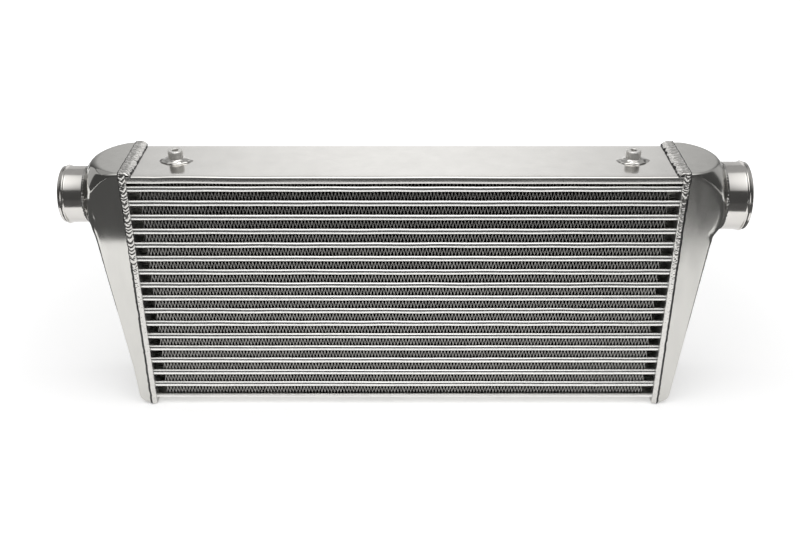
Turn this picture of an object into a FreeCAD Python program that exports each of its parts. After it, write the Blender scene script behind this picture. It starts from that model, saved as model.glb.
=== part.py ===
import FreeCAD, Part
import math
import os

# Front mount tube and fin intercooler, in millimetres.
# Origin: on the floor, under the middle of the overall length and depth.
# X runs along the core (small pipe at -X, large pipe at +X), -Y is the face
# that meets the air, +Z is up.

# Core stack: flat tubes with a corrugated fin above and below each
core_length = 600.0
tube_count = 16
tube_height = 7.0
tube_depth = 88.0
tube_wall = 0.9
fin_height = 10.23
fin_gauge = 0.35
fin_setback = 4.0
fin_end_gap = 12.0
fin_pitch = 19.2
turbulator_gauge = 0.35
turbulator_pitch = 27.0
turbulator_end_gap = 4.0
braze_clearance = 0.05

# Side plates: folded channels that close the stack, both opening downwards
plate_gauge = 1.5
plate_bend_radius = 2.0
plate_overhang = 0.5
top_plate_lip = 7.9
bottom_plate_lip = 6.5

# Header plates and end tanks: each tank is a slanted, flat-sided body with a head
# whose corners are rounded off by a sphere about a point on the pipe's axis
header_gauge = 3.0
tank_overhang = 1.0
tank_wall = 3.5
tank_rise = 4.1
tank_drop = 5.5
tank_edge_radius = 3.0
tank_foot_radius = 12.0
foot_reach = 20.5
left_wall_reach = 45.0
left_wall_height = 241.0
left_waist_reach = 23.5
left_waist_height = 46.5
left_sphere_inset = 5.0
right_wall_reach = 42.2
right_wall_height = 224.0
right_waist_reach = 35.5
right_waist_height = 156.0
right_sphere_inset = 0.0
wall_top_radius = 10.0
waist_radius = 30.0

# Hose pipes, each butted against the end of its tank's head; a drop is from the top
# of the tank to the axis of the pipe
left_pipe_diameter = 63.5
left_pipe_drop = 44.81
right_pipe_diameter = 76.2
right_pipe_drop = 46.61
pipe_wall = 2.0
pipe_length = 28.5
bead_inset = 5.0
bead_width = 5.0
bead_height = 1.5
bead_slope = 1.7
neck_reach = 54.0
pipe_weld_size = 2.2

# Weld that joins each tank to its header plate and core
weld_width = 8.5
weld_proud = 1.5
weld_corner = 2.5
weld_crown = 1.1
top_weld_overlap = 6.0
weld_clearance = 0.05

# Threaded mounting bosses on the top plate
boss_inset = 46.5
boss_diameter = 16.5
boss_height = 13.0
boss_edge = 0.8
boss_tap_diameter = 6.8
boss_tap_depth = 11.0
boss_weld_length = 39.0
boss_weld_width = 27.0
boss_weld_height = 4.0
boss_weld_crest = 2.0

# Levels, from the floor up: the part stands on the undersides of the tank welds
tank_bottom = weld_proud
flange_bottom = tank_bottom + tank_drop
stack_bottom = flange_bottom + bottom_plate_lip
tube_pitch = tube_height + fin_height
stack_top = stack_bottom + tube_count * tube_pitch + fin_height
plate_top = stack_top + plate_gauge
tank_top = plate_top + tank_rise
left_pipe_height = tank_top - left_pipe_drop
right_pipe_height = tank_top - right_pipe_drop

# Depths, from the tubes outwards
core_depth = tube_depth + 2 * plate_overhang
tank_depth = core_depth + 2 * tank_overhang

# Places along X, as distances from the middle
core_end = core_length / 2
boss_middle = core_end - boss_inset
header_face = core_end + header_gauge
tube_end = header_face
weld_end = core_end + weld_width
neck_end = core_end + neck_reach
pipe_end = neck_end + pipe_length


def vector(x, y, z):
    return FreeCAD.Vector(x, y, z)


def block(x_low, x_high, y_low, y_high, z_low, z_high):
    corner = vector(x_low, y_low, z_low)
    return Part.makeBox(x_high - x_low, y_high - y_low, z_high - z_low, corner)


def mirrored(shape):
    """The same piece for the other end of the core."""
    return shape.mirror(vector(0, 0, 0), vector(1, 0, 0))


def edges_along(shape, axis, keep):
    """Straight edges parallel to an axis whose middle passes the test."""
    chosen = []
    for edge in shape.Edges:
        if not isinstance(edge.Curve, Part.Line):
            continue
        run = edge.Vertexes[-1].Point.sub(edge.Vertexes[0].Point)
        if abs(abs(run.dot(axis)) - run.Length) > 1e-6:
            continue
        if keep(edge.CenterOfMass):
            chosen.append(edge)
    return chosen


def flat_tube_face(depth, height, x, z_middle):
    """Section across a tube: two flats joined by full round noses."""
    half_flat = (depth - height) / 2
    top = z_middle + height / 2
    bottom = z_middle - height / 2
    front_top = vector(x, -half_flat, top)
    front_bottom = vector(x, -half_flat, bottom)
    back_top = vector(x, half_flat, top)
    back_bottom = vector(x, half_flat, bottom)
    front_nose = Part.Arc(front_top, vector(x, -depth / 2, z_middle), front_bottom)
    back_nose = Part.Arc(back_bottom, vector(x, depth / 2, z_middle), back_top)
    edges = [
        front_nose.toShape(),
        Part.makeLine(front_bottom, back_bottom),
        back_nose.toShape(),
        Part.makeLine(back_top, front_top),
    ]
    return Part.Face(Part.Wire(edges))


def stamped_slot_face(depth, height, x, z_middle):
    """The same section with three flats at each end in place of the round."""
    radius = height / 2
    nose = depth / 2 - radius
    half_side = radius * math.tan(math.pi / 8)
    quarter = [(nose + half_side, radius), (nose + radius, half_side)]
    back = quarter + [(y, -z) for y, z in reversed(quarter)]
    outline = back + [(-y, -z) for y, z in back]
    points = [vector(x, y, z_middle + z) for y, z in outline]
    return Part.Face(Part.makePolygon(points + points[:1]))


def corrugated_strip(run, low, high, gauge, pitch, place):
    """Closed outline of a sheet folded to and fro between two levels."""
    folds = 2 * max(1, round(run / pitch))
    fold_run = run / folds
    slant = math.atan2(high - low, fold_run)
    rise = gauge / math.cos(slant)
    lower_side = []
    upper_side = []
    for fold in range(folds + 1):
        along = -run / 2 + fold * fold_run
        level = low if fold % 2 == 0 else high - rise
        lower_side.append(place(along, level))
        upper_side.append(place(along, level + rise))
    outline = lower_side + upper_side[::-1]
    return Part.Face(Part.makePolygon(outline + outline[:1]))


def tube_middle(row):
    """Height of the middle of a tube, counted from 1 at the top."""
    return stack_top + tube_height / 2 - row * tube_pitch


def core_tube(row):
    middle = tube_middle(row)
    inner_depth = tube_depth - 2 * tube_wall
    inner_height = tube_height - 2 * tube_wall
    length = vector(2 * tube_end, 0, 0)
    outside = flat_tube_face(tube_depth, tube_height, -tube_end, middle).extrude(length)
    inside = stamped_slot_face(inner_depth, inner_height, -tube_end, middle).extrude(length)
    return outside.cut(inside)


def turbulator(row):
    """Folded strip brazed inside a tube, with its channels along the tube."""
    middle = tube_middle(row)
    inner_height = tube_height - 2 * tube_wall
    half_height = inner_height / 2 - braze_clearance
    width = tube_depth - 2 * tube_wall - inner_height
    start = -tube_end + turbulator_end_gap

    def place(along, level):
        return vector(start, along, level)

    face = corrugated_strip(width, middle - half_height, middle + half_height,
                            turbulator_gauge, turbulator_pitch, place)
    return face.extrude(vector(-2 * start, 0, 0))


def air_fin(row):
    """Folded fin above tube number row; the last one is under the last tube."""
    top = stack_top - (row - 1) * tube_pitch
    low = top - fin_height + braze_clearance
    high = top - braze_clearance
    half_depth = tube_depth / 2 - fin_setback

    def place(along, level):
        return vector(along, -half_depth, level)

    face = corrugated_strip(core_length - 2 * fin_end_gap, low, high,
                            fin_gauge, fin_pitch, place)
    return face.extrude(vector(0, 2 * half_depth, 0))


def side_plate(top, lip):
    """Sheet folded along the front and back edges into a shallow channel."""
    half_depth = core_depth / 2
    outside = block(-core_end, core_end, -half_depth, half_depth, top - lip, top)
    inside = block(-core_end, core_end, -half_depth + plate_gauge,
                   half_depth - plate_gauge, top - lip, top - plate_gauge)
    channel = outside.cut(inside)
    bends = edges_along(channel, vector(1, 0, 0), lambda p: p.z > top - 1e-6)
    channel = channel.makeFillet(plate_bend_radius, bends)
    inner_radius = plate_bend_radius - plate_gauge
    folds = edges_along(channel, vector(1, 0, 0),
                        lambda p: abs(p.z - top + plate_gauge) < 1e-6)
    return channel.makeFillet(inner_radius, folds)


def header_plate():
    """Plate at the end of the core, with a slot for each tube."""
    half_depth = tank_depth / 2
    plate = block(core_end, header_face, -half_depth, half_depth, tank_bottom, tank_top)
    through = vector(header_gauge, 0, 0)
    slots = []
    for row in range(1, tube_count + 1):
        slot = stamped_slot_face(tube_depth + 2 * braze_clearance,
                                 tube_height + 2 * braze_clearance,
                                 core_end, tube_middle(row))
        slots.append(slot.extrude(through))
    return plate.cut(slots)


def rounded_outline(corners, y):
    """Closed wire in a plane across Y through (x, z, radius) corners."""
    count = len(corners)
    joints = []
    for index in range(count):
        x, z, radius = corners[index]
        here = vector(x, y, z)
        if radius == 0:
            joints.append((here, None, here))
            continue
        before = vector(corners[index - 1][0], y, corners[index - 1][1]).sub(here)
        after = vector(corners[(index + 1) % count][0], y,
                       corners[(index + 1) % count][1]).sub(here)
        before.normalize()
        after.normalize()
        half_angle = before.getAngle(after) / 2
        run = radius / math.tan(half_angle)
        bisector = before.add(after)
        bisector.normalize()
        middle_distance = radius / math.sin(half_angle) - radius
        start = here.add(before.multiply(run))
        end = here.add(after.multiply(run))
        joints.append((start, here.add(bisector.multiply(middle_distance)), end))
    edges = []
    for index in range(count):
        start, middle, end = joints[index]
        if middle is not None:
            edges.append(Part.Arc(start, middle, end).toShape())
        next_start = joints[(index + 1) % count][0]
        if end.distanceToPoint(next_start) > 1e-6:
            edges.append(Part.makeLine(end, next_start))
    return Part.Wire(edges)


def tank_profile(mouth, wall_corners):
    """Side view of a tank's body, from the top of its outer wall down to the foot."""
    wall_top = wall_corners[0][1]
    corners = [(mouth, wall_top, 0)]
    corners.extend(wall_corners)
    corners.append((core_end + foot_reach, tank_bottom, tank_foot_radius))
    corners.append((mouth, tank_bottom, 0))
    return corners


def tank_head(start, wall, sphere_inset, pipe_diameter, pipe_height):
    """Flat-sided block whose outer corners a sphere rounds off to meet the pipe."""
    centre = vector(core_end - sphere_inset, 0, pipe_height)
    meets_pipe = vector(neck_end, 0, pipe_height + pipe_diameter / 2)
    radius = meets_pipe.distanceToPoint(centre)
    half_depth = tank_depth / 2 - wall
    head = block(start, neck_end, -half_depth, half_depth, pipe_height - radius,
                 tank_top - wall)
    if wall == 0:
        long_edges = edges_along(head, vector(1, 0, 0), lambda p: p.z > pipe_height)
        head = head.makeFillet(tank_edge_radius, long_edges)
    return head.common(Part.makeSphere(radius - wall, centre))


def revolved_about_pipe(points, height):
    """Ring turned from (x, radius) points about a pipe axis at this height."""
    outline = [vector(x, 0, height + radius) for x, radius in points]
    face = Part.Face(Part.makePolygon(outline + outline[:1]))
    return face.revolve(vector(0, 0, height), vector(1, 0, 0), 360)


def end_tank(wall_corners, sphere_inset, pipe_diameter, pipe_height):
    """Hollow casting: slanted body, rounded head and the opening for the pipe."""
    half_depth = tank_depth / 2
    profile = Part.Face(rounded_outline(tank_profile(header_face, wall_corners),
                                        -half_depth))
    body = profile.extrude(vector(0, tank_depth, 0))
    rims = []
    for edge in body.Edges:
        middle = edge.CenterOfMass
        on_side = abs(abs(middle.y) - half_depth) < 1e-6
        if on_side and middle.x > header_face + 1e-3:
            rims.append(edge)
    body = body.makeFillet(tank_edge_radius, rims)
    head = tank_head(header_face, 0, sphere_inset, pipe_diameter, pipe_height)
    outside = body.fuse(head)
    mouth = header_face - tank_wall
    body_room = Part.Face(rounded_outline(tank_profile(mouth, wall_corners),
                                          tank_wall - half_depth))
    body_room = body_room.makeOffset2D(-tank_wall)
    body_room = body_room.extrude(vector(0, tank_depth - 2 * tank_wall, 0))
    head_room = tank_head(header_face, tank_wall, sphere_inset, pipe_diameter, pipe_height)
    bore = pipe_diameter / 2 - pipe_wall
    outlet = Part.makeCylinder(bore, neck_reach - header_gauge,
                               vector(header_face, 0, pipe_height), vector(1, 0, 0))
    return outside.cut([body_room, head_room, outlet]).removeSplitter()


def hose_pipe(diameter, height):
    """Straight pipe with a raised bead near its open end."""
    outer = diameter / 2
    inner = outer - pipe_wall
    bead = pipe_end - bead_inset
    bead_start = bead - bead_width / 2
    bead_end = bead + bead_width / 2
    points = [
        (neck_end, inner),
        (neck_end, outer),
        (bead_start, outer),
        (bead_start + bead_slope, outer + bead_height),
        (bead_end - bead_slope, outer + bead_height),
        (bead_end, outer),
        (pipe_end, outer),
        (pipe_end, inner),
    ]
    return revolved_about_pipe(points, height)


def pipe_weld(diameter, height, sphere_inset):
    """Fillet of weld in the corner between the head of a tank and its pipe."""
    inner = diameter / 2 + weld_clearance
    slope = vector(-diameter / 2, neck_reach + sphere_inset, 0).normalize()
    points = [
        (neck_end, inner),
        (neck_end + slope.x * pipe_weld_size, inner + slope.y * pipe_weld_size),
        (neck_end + pipe_weld_size, inner),
    ]
    return revolved_about_pipe(points, height)


def tank_weld():
    """Crowned bead all round the joint, widened over the top plate."""
    half_depth = tank_depth / 2 + weld_clearance
    outer_depth = tank_depth / 2 + weld_proud
    low = tank_bottom - weld_clearance
    high = tank_top + weld_clearance
    ring = block(core_end, weld_end, -outer_depth, outer_depth,
                 tank_bottom - weld_proud, tank_top + weld_proud)
    corners = edges_along(ring, vector(1, 0, 0), lambda p: True)
    ring = ring.makeChamfer(weld_corner, corners)
    crowns = []
    for edge in ring.Edges:
        box = edge.BoundBox
        if box.XMax - box.XMin < 1e-6:
            crowns.append(edge)
    ring = ring.makeChamfer(weld_crown, crowns)
    ring = ring.cut(block(core_end, weld_end, -half_depth, half_depth, low, high))
    pad = block(core_end - top_weld_overlap, core_end + weld_crown, -core_depth / 2,
                core_depth / 2, plate_top + weld_clearance, tank_top + weld_proud)
    pad = pad.cut(block(core_end, core_end + weld_crown, -half_depth, half_depth,
                        plate_top, high))
    slope = edges_along(pad, vector(0, 1, 0),
                        lambda p: p.z > tank_top + weld_clearance and p.x < core_end - 1e-6)
    pad = pad.makeChamfer(tank_rise, slope)
    return ring.fuse(pad).removeSplitter()


def mounting_boss():
    """Turned boss with a blind tapped hole."""
    x = boss_middle
    base = vector(x, 0, plate_top)
    body = Part.makeCylinder(boss_diameter / 2, boss_height, base)
    rim = [e for e in body.Edges if e.CenterOfMass.z > plate_top + boss_height - 1e-6]
    body = body.makeChamfer(boss_edge, rim)
    hole = Part.makeCylinder(boss_tap_diameter / 2, boss_tap_depth,
                             vector(x, 0, plate_top + boss_height - boss_tap_depth))
    return body.cut(hole)


def boss_weld():
    """Puddle of weld round the foot of a boss, drawn out to a point along the core."""
    middle = vector(boss_middle, 0, plate_top)
    collar = boss_diameter / 2 + weld_clearance
    half_length = boss_weld_length / 2
    half_width = boss_weld_width / 2
    side_radius = (half_length ** 2 + half_width ** 2) / (2 * half_width)
    side_run = half_width - collar - boss_weld_crest
    mound = Part.makeCone(half_length, collar + boss_weld_crest, boss_weld_height, middle)
    for side in (-1, 1):
        offset = vector(0, side * (side_radius - half_width), 0)
        mound = mound.common(Part.makeCone(side_radius, side_radius - side_run,
                                           boss_weld_height, middle.add(offset)))
    return mound.cut(Part.makeCylinder(collar, boss_weld_height, middle))


def save(name, shape):
    if shape.ShapeType == "Compound" and len(shape.Solids) == 1:
        shape = shape.Solids[0]
    shape.exportStep("parts/" + name + ".step")


os.makedirs("parts", exist_ok=True)

save("top_side_plate", side_plate(plate_top, top_plate_lip))
save("bottom_side_plate", side_plate(stack_bottom, bottom_plate_lip))

for row in range(1, tube_count + 1):
    save("core_tube_%02d" % row, core_tube(row))

for row in range(1, tube_count + 2):
    save("air_fin_%02d" % row, air_fin(row))

save("tube_turbulators", Part.makeCompound([turbulator(row)
                                            for row in range(1, tube_count + 1)]))

save("right_header_plate", header_plate())
save("left_header_plate", mirrored(header_plate()))

left_corners = [
    (core_end + left_wall_reach, flange_bottom + left_wall_height, wall_top_radius),
    (core_end + left_waist_reach, flange_bottom + left_waist_height, waist_radius),
]
right_corners = [
    (core_end + right_wall_reach, flange_bottom + right_wall_height, wall_top_radius),
    (core_end + right_waist_reach, flange_bottom + right_waist_height, waist_radius),
]
save("left_end_tank", mirrored(end_tank(left_corners, left_sphere_inset,
                                        left_pipe_diameter, left_pipe_height)))
save("right_end_tank", end_tank(right_corners, right_sphere_inset,
                                right_pipe_diameter, right_pipe_height))

save("left_pipe", mirrored(hose_pipe(left_pipe_diameter, left_pipe_height)))
save("right_pipe", hose_pipe(right_pipe_diameter, right_pipe_height))
save("left_pipe_weld", mirrored(pipe_weld(left_pipe_diameter, left_pipe_height,
                                          left_sphere_inset)))
save("right_pipe_weld", pipe_weld(right_pipe_diameter, right_pipe_height,
                                  right_sphere_inset))

save("right_tank_weld", tank_weld())
save("left_tank_weld", mirrored(tank_weld()))

save("right_mount_boss", mounting_boss())
save("left_mount_boss", mirrored(mounting_boss()))
save("right_boss_weld", boss_weld())
save("left_boss_weld", mirrored(boss_weld()))
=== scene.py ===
"""Front mount intercooler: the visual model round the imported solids."""

import math

import bpy
import numpy as np
from bpy.props import FloatProperty, FloatVectorProperty, IntProperty, PointerProperty
from mathutils import Euler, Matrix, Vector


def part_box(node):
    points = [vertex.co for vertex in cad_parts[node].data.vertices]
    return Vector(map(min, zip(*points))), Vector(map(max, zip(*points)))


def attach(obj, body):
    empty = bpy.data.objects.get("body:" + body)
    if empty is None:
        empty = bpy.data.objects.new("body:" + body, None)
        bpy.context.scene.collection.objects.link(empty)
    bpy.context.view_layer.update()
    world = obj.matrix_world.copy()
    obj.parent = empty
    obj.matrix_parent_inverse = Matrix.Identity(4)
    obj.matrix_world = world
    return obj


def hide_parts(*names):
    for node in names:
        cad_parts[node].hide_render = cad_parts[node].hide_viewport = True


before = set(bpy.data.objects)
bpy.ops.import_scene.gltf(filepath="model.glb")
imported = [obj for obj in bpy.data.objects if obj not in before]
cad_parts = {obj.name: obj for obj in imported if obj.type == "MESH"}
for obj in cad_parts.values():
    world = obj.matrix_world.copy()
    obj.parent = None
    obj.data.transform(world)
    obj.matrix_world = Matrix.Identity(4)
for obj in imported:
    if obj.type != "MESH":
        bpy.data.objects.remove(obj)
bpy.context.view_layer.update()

bl_info = {
    "name": "Intercooler",
    "version": (1, 0, 0),
    "blender": (4, 5, 0),
    "location": "View3D > Sidebar > Intercooler",
    "description": "Builds the visible pieces of a tube and fin intercooler",
    "category": "Object",
}

TUBES = sorted(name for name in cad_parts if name.startswith("core_tube_"))
FINS = sorted(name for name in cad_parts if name.startswith("air_fin_"))
SIDES = ("left", "right")
PREFIX = "intercooler_"


def length(name, default, description):
    """A size that the user may change, in metres."""
    return FloatProperty(name=name, default=default, description=description,
                         unit="LENGTH", precision=5, min=0.0)


def lengths(name, default, description):
    """One size for the left side and one for the right, in metres."""
    return FloatVectorProperty(name=name, default=default, description=description,
                               unit="LENGTH", precision=5, size=2, min=0.0)


def colour(name, default, description):
    """A colour that the user may change."""
    return FloatVectorProperty(name=name, default=default, description=description,
                               subtype="COLOR", size=3, min=0.0, max=1.0)


class CoreSettings(bpy.types.PropertyGroup):
    """Sizes of the stack of tubes, fins and side plates."""
    fin_pitch: length("Fin pitch", 0.00384, "Run of one full fold of an air fin")
    fin_gauge: length("Fin gauge", 0.00045, "Thickness of the fin strip")
    fin_wave: length("Fin wave", 0.0002, "How far the folds sway along the depth")
    fin_wave_pitch: length("Wave pitch", 0.0024, "Depth of one sway of the folds")
    fin_detail_depth: length("Swayed depth", 0.0072, "Depth at each face that shows the sway")
    fin_reach: length("Fin reach", 0.0010, "How far a fin comes forward between the noses")
    fin_scatter: length("Fold scatter", 0.00006, "How unevenly the folds stand")
    tube_wall: length("Tube wall", 0.0009, "Wall of a flat tube")
    tube_swell: length("Tube swell", 0.0004, "How far a tube stands out between the fins")
    tube_ripple: length("Tube ripple", 0.00006, "Waviness of a tube's nose")
    tube_straight: length("Straight end", 0.0200, "Run at a tube's ends where the waves fade out")
    plate_gauge: length("Plate gauge", 0.0015, "Sheet of the side plates")
    top_bend: length("Top plate bend", 0.0028, "Outer radius of the top plate's folds")
    bottom_bend: length("Bottom plate bend", 0.0017, "Outer radius of the bottom plate's folds")
    plate_dent: length("Plate dent", 0.0005, "How far the top plate is out of true")
    lip_lean: length("Lip lean", 0.0011, "How far the top plate's lips lean inwards")
    lip_clearance: length("Lip clearance", 0.0030, "Gap between the bottom plate's lips and the floor")


class TankSettings(bpy.types.PropertyGroup):
    """Sizes of the cast end tanks, measured outwards from the end of the core."""
    edge: length("Edge radius", 0.0030, "Rounding along the casting's front and back")
    crease: lengths("Crease", (0.0040, 0.0010), "Rounding where a head's top meets its ball")
    blend: length("Blend", 0.0080, "Soft hollow between the head and the slanted wall")
    voxel: length("Casting voxel", 0.0015, "Grid that the casting is meshed on")
    catch: length("Skin catch", 0.0021, "Mesh points nearer than this are moved onto the skin")
    inset: lengths("Ball inset", (0.0050, 0.0), "Middle of a head's ball, inside the core")
    reach: lengths("Reach", (0.0450, 0.0422), "Outer wall of a tank")
    wall: lengths("Wall height", (0.2480, 0.2310), "Top of the outer wall")
    waist_reach: lengths("Waist reach", (0.0235, 0.0355), "Outer wall at its bend")
    waist: lengths("Waist height", (0.0535, 0.1630), "Height of the bend in the wall")
    wall_top_radius: length("Wall top radius", 0.0100, "Rounding at the top of the wall")
    waist_radius: length("Waist radius", 0.0300, "Rounding of the bend in the wall")
    foot_reach: length("Foot reach", 0.0205, "Outer wall at the floor")
    foot_radius: length("Foot radius", 0.0120, "Rounding of the foot")


class PipeSettings(bpy.types.PropertyGroup):
    """Sizes of the hose pipes."""
    wall: length("Pipe wall", 0.0020, "Wall of a hose pipe")
    bead_inset: length("Bead inset", 0.0050, "From the open end to the bead's middle")
    bead_width: length("Bead width", 0.0050, "Width of the rolled bead")
    bead_height: length("Bead height", 0.0015, "Height of the rolled bead")
    lip_radius: length("Lip radius", 0.0006, "Rounding of the open end")
    segments: IntProperty(name="Segments", default=144, min=24,
                          description="Facets round a pipe")


class WeldSettings(bpy.types.PropertyGroup):
    """Sizes of the weld beads."""
    ripple_pitch: length("Ripple pitch", 0.0052, "Run of one ripple of the bead")
    ripple_height: length("Ripple height", 0.0011, "Depth of a ripple")
    ripple_lag: length("Ripple lag", 0.0042, "How far a ripple trails at its edges")
    calm: lengths("Calm height", (0.195, 0.275), "Below this a bead is smooth")
    waver: length("Waver", 0.0004, "How far a bead's edges stray")
    lump: length("Lumps", 0.00016, "How uneven the weld metal lies")
    foot: length("Bead foot", 0.0006, "How far a bead's edges sit in the metal below")
    corner: length("Bead corner", 0.0020, "Rounding of a bead at the corners of the core")
    step: length("Weld step", 0.0006, "Mesh size along a bead")
    fillet: length("Neck fillet", 0.0006, "Fullness of the weld round a pipe")
    neck_ripple: length("Neck ripple", 0.0003, "Depth of a ripple round a pipe")


class BossSettings(bpy.types.PropertyGroup):
    """Sizes of the mounting bosses and of the weld at their feet."""
    hole: length("Hole radius", 0.0034, "Crests of the thread")
    hole_depth: length("Hole depth", 0.0110, "Depth of the blind hole")
    edge: length("Boss edge", 0.0008, "Chamfer round the top of a boss")
    mouth: length("Hole mouth", 0.0006, "Chamfer at the mouth of the hole")
    ring_step: length("Ring step", 0.00115, "From a crest of the thread to its root")
    ring_depth: length("Ring depth", 0.0003, "Depth of the thread")
    skirt: length("Skirt", 0.0015, "Height of the weld near its outer edge")
    lump: length("Lumps", 0.00022, "How uneven the weld metal lies")


class FinishSettings(bpy.types.PropertyGroup):
    """Colours of the metal."""
    plate: colour("Side plate", (0.86, 0.845, 0.815), "Polished sheet")
    # Lighter than the top plate's sheet: painted light, so that the bottom plate's lips show bright.
    base: colour("Bottom plate", (0.97, 0.96, 0.93), "Brushed sheet at the floor")
    tube: colour("Tube", (0.97, 0.965, 0.94), "Bright drawn tube")
    # Darker than the tubes' metal: painted shade of the fin rows, which sit back between the tubes.
    fin: colour("Fin", (0.56, 0.55, 0.525), "Folded strip")
    tank: colour("Tank", (0.67, 0.66, 0.63), "Polished casting")
    pipe: colour("Pipe", (0.74, 0.72, 0.69), "Mirror polished pipe")
    weld: colour("Weld", (0.79, 0.775, 0.745), "Weld metal")
    # Near black seam: painted shade in the crease where a weld bead meets the metal.
    seam: colour("Seam", (0.10, 0.10, 0.10), "Burnt edge of a weld bead")
    boss: colour("Boss", (0.95, 0.935, 0.905), "Turned boss")
    plain: colour("Plain", (0.70, 0.70, 0.69), "Unpolished inner pieces")


class StageSettings(bpy.types.PropertyGroup):
    """Camera, lamp and floor."""
    camera_back: length("Camera distance", 1.05161, "Camera in front of the middle")
    camera_height: length("Camera height", 0.75713, "Camera above the floor")
    camera_pitch: FloatProperty(name="Camera pitch", default=math.radians(29.34),
                                description="How far the camera looks down", unit="ROTATION")
    lens: FloatProperty(name="Lens", default=46.178, description="Focal length in millimetres")
    camera_shift: FloatProperty(name="Camera shift", default=-0.00556,
                                description="Sideways framing, as a share of the width")
    light: FloatProperty(name="Light", default=1.45, description="Brightness of the softbox")
    box_width: length("Softbox width", 2.60, "Width of the softbox")
    box_depth: length("Softbox depth", 1.45, "Depth of the softbox")
    box_height: length("Softbox height", 1.26, "Softbox above the floor")
    box_forward: length("Softbox forward", 0.46, "Middle of the softbox in front of the core")
    glow: FloatProperty(name="Floor glow", default=0.30,
                        description="Whiteness that the floor shows without any lamp")


GROUPS = {
    "core": CoreSettings,
    "tanks": TankSettings,
    "pipes": PipeSettings,
    "welds": WeldSettings,
    "bosses": BossSettings,
    "finish": FinishSettings,
    "stage": StageSettings,
}


def settings(group):
    """The values of one group, as they are set in the scene."""
    return getattr(bpy.context.scene, PREFIX + group)


# Places in the frame

def outward(side):
    """Direction in which a side's pieces point along the core."""
    return -1.0 if side == "left" else 1.0


def span(node):
    """Inner and outer end of a node, as distances from the middle of the core."""
    low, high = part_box(node)
    return min(abs(low.x), abs(high.x)), max(abs(low.x), abs(high.x))


def facing_out(faces, side):
    """Faces wound for the left side, turned over on the right."""
    return faces if side == "left" else faces[:, ::-1]


# Meshes

def make_mesh(name, points, faces, crease=40.0):
    """Mesh from an array of points and a list of face arrays, smooth between creases."""
    mesh = bpy.data.meshes.new(name)
    points = np.asarray(points, np.float32).reshape(-1, 3)
    loops = np.concatenate([np.asarray(f, np.int32).ravel() for f in faces])
    sizes = np.concatenate([np.full(len(f), np.shape(f)[1], np.int32) for f in faces])
    mesh.vertices.add(len(points))
    mesh.vertices.foreach_set("co", points.ravel())
    mesh.loops.add(len(loops))
    mesh.loops.foreach_set("vertex_index", loops)
    mesh.polygons.add(len(sizes))
    mesh.polygons.foreach_set("loop_start", np.concatenate([[0], np.cumsum(sizes)[:-1]]))
    mesh.update(calc_edges=True)
    mesh.validate()
    mesh.shade_smooth()
    mesh.set_sharp_from_angle(angle=math.radians(crease))
    return mesh


def grid(rows, columns, wrap_rows=False, wrap_columns=False, start=0):
    """Quads over a grid of points stored row by row."""
    row = np.arange(rows if wrap_rows else rows - 1)
    column = np.arange(columns if wrap_columns else columns - 1)
    i, j = np.meshgrid(row, column, indexing="ij")
    below = (i + 1) % rows
    beside = (j + 1) % columns
    quads = np.stack([i * columns + j, i * columns + beside,
                      below * columns + beside, below * columns + j], axis=-1)
    return quads.reshape(-1, 4) + start


def swept(stations, section):
    """Section of (y, z) points repeated at each station along the core."""
    points = np.empty((len(stations), len(section), 3))
    points[..., 0] = np.asarray(stations)[:, None]
    points[..., 1:] = section
    return points


def turned(profile, segments, centre, axis="x", direction=1.0):
    """Rings of (along, radius) points turned about an axis, as a grid of points."""
    profile = np.asarray(profile, float)
    turn = np.linspace(0, 2 * math.pi, segments, endpoint=False)
    along = np.repeat(profile[:, :1], segments, axis=1) * direction
    across = profile[:, 1:] * np.cos(turn)
    up = profile[:, 1:] * np.sin(turn)
    order = [along, across, up] if axis == "x" else [across, up, along]
    return np.stack(order, axis=-1) + np.asarray(centre, float)


def placed(name, data):
    """Object made of this data, linked into the scene."""
    item = bpy.data.objects.new(name, data)
    bpy.context.scene.collection.objects.link(item)
    return item


def piece(name, mesh, finish_name, node):
    """Object that rides on the body and stands for a CAD node."""
    item = placed(name, mesh)
    mesh.materials.clear()
    mesh.materials.append(finish(finish_name))
    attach(item, "root")
    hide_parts(node)


def dress(node, finish_name):
    """Finish for a CAD node that is shown as it is."""
    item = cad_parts[node]
    item.data.materials.clear()
    item.data.materials.append(finish(finish_name))


# Finishes

EVEN = (1.0, 1.0, 1.0)

PLAIN = dict(tint="plain", roughness=(0.35, 0.5), patches=(30, EVEN),
             grain=(300, EVEN, 0.00001), waves=(20, EVEN, 0.0001))

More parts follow.
